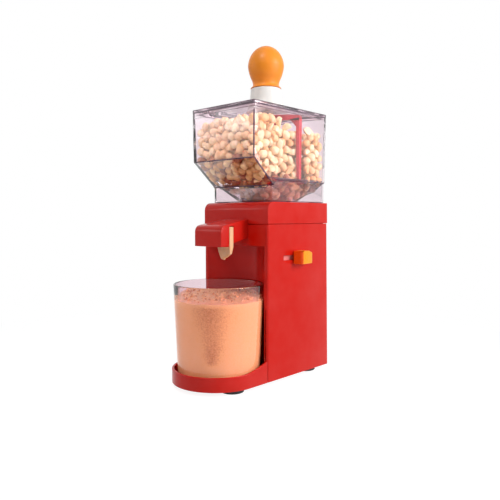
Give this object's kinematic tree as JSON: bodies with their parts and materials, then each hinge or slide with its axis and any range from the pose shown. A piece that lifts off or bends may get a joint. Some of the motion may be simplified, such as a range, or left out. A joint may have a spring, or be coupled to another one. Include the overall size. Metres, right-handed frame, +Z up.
{
  "type": "nut butter grinder",
  "caption": "Counter-top nut butter grinder: clear hopper with a hand-turned stirrer, screw and cone grinder inside a red housing, hooded spout over a clear cup, slide switch.",
  "frame": {"origin": "on the ground, under the middle of the whole machine, the switch's lever included", "axes": "+Z up, the spout and the cup point to -Y, the switch is on the +X side"},
  "size_m": [0.0974, 0.165, 0.3325],
  "materials": {
    "red_shell": "glossy moulded",
    "clear_hopper": "clear with a faint plum tint",
    "clear_cup": "clear with a faint pink tint",
    "orange_knob": "satin moulded",
    "amber_lever": "glossy moulded",
    "pink_slider": "satin",
    "white_plastic": "satin",
    "red_stirrer": "glossy moulded",
    "cream_nylon": "satin",
    "black_plastic": "fine grain",
    "black_rubber": "matt",
    "polished_steel": "ground and polished",
    "zinc_steel": "zinc plated",
    "bronze_bush": "sintered"
  },
  "bodies": {
    "base": {"lower_housing": "red_shell", "upper_housing": "red_shell", "base_tray": "red_shell", "foot_front_left": "black_rubber", "foot_front_right": "black_rubber", "foot_rear_left": "black_rubber", "foot_rear_right": "black_rubber", "base_screw_front_left": "zinc_steel", "base_screw_front_right": "zinc_steel", "base_screw_rear_left": "zinc_steel", "base_screw_rear_right": "zinc_steel", "spout": "red_shell", "grinding_chamber": "cream_nylon", "grinding_ring": "polished_steel", "shaft_seal": "black_rubber", "rear_bearing": "bronze_bush", "idler_pin": "polished_steel", "idler_clip": "zinc_steel", "gear_plate": "zinc_steel", "motor": "zinc_steel", "switch_body": "black_plastic", "cord_inlet": "black_rubber"},
    "hopper": {"hopper": "clear_hopper"},
    "lid": {"hopper_lid": "clear_hopper", "lid_collar": "white_plastic"},
    "stirrer": {"knob": "orange_knob", "stirrer_shaft": "polished_steel", "stirrer_arm": "red_stirrer"},
    "cup": {"cup": "clear_cup"},
    "switch": {"switch_lever": "amber_lever", "switch_slider": "pink_slider"},
    "grinder": {"auger": "polished_steel", "grinding_rotor": "polished_steel", "auger_gear": "cream_nylon"},
    "idler": {"idler_gear": "cream_nylon"},
    "motor_rotor": {"motor_pinion": "polished_steel"}
  },
  "joints": [
    {"name": "hopper_lift", "type": "slide", "parent": "base", "child": "hopper", "axis": [0, 0, 1], "range_m": [0, 0.02]},
    {"name": "lid_lift", "type": "slide", "parent": "hopper", "child": "lid", "axis": [0, 0, 1], "range_m": [0, 0.075]},
    {"name": "stirrer_turn", "type": "hinge", "parent": "lid", "child": "stirrer", "pos_m": [-0.00575, 0.0305, 0.29], "axis": [0, 0, 1], "continuous": true},
    {"name": "cup_lift", "type": "slide", "parent": "base", "child": "cup", "axis": [0, 0, 1], "range_m": [0, 0.028]},
    {"name": "switch_slide", "type": "slide", "parent": "base", "child": "switch", "axis": [0, -1, 0], "range_m": [0, 0.008]},
    {"name": "grinder_spin", "type": "hinge", "parent": "base", "child": "grinder", "pos_m": [-0.00575, 0.03, 0.14956], "axis": [0, 1, 0], "continuous": true},
    {"name": "idler_spin", "type": "hinge", "parent": "base", "child": "idler", "pos_m": [-0.00575, 0.064, 0.12331], "axis": [0, 1, 0], "continuous": true},
    {"name": "motor_spin", "type": "hinge", "parent": "base", "child": "motor_rotor", "pos_m": [-0.00575, 0.064, 0.09331], "axis": [0, 1, 0], "continuous": true}
  ],
  "couplings": [
    {"joint": "idler_spin", "follows": "grinder_spin", "ratio": -2.5},
    {"joint": "motor_spin", "follows": "grinder_spin", "ratio": 7.5}
  ]
}
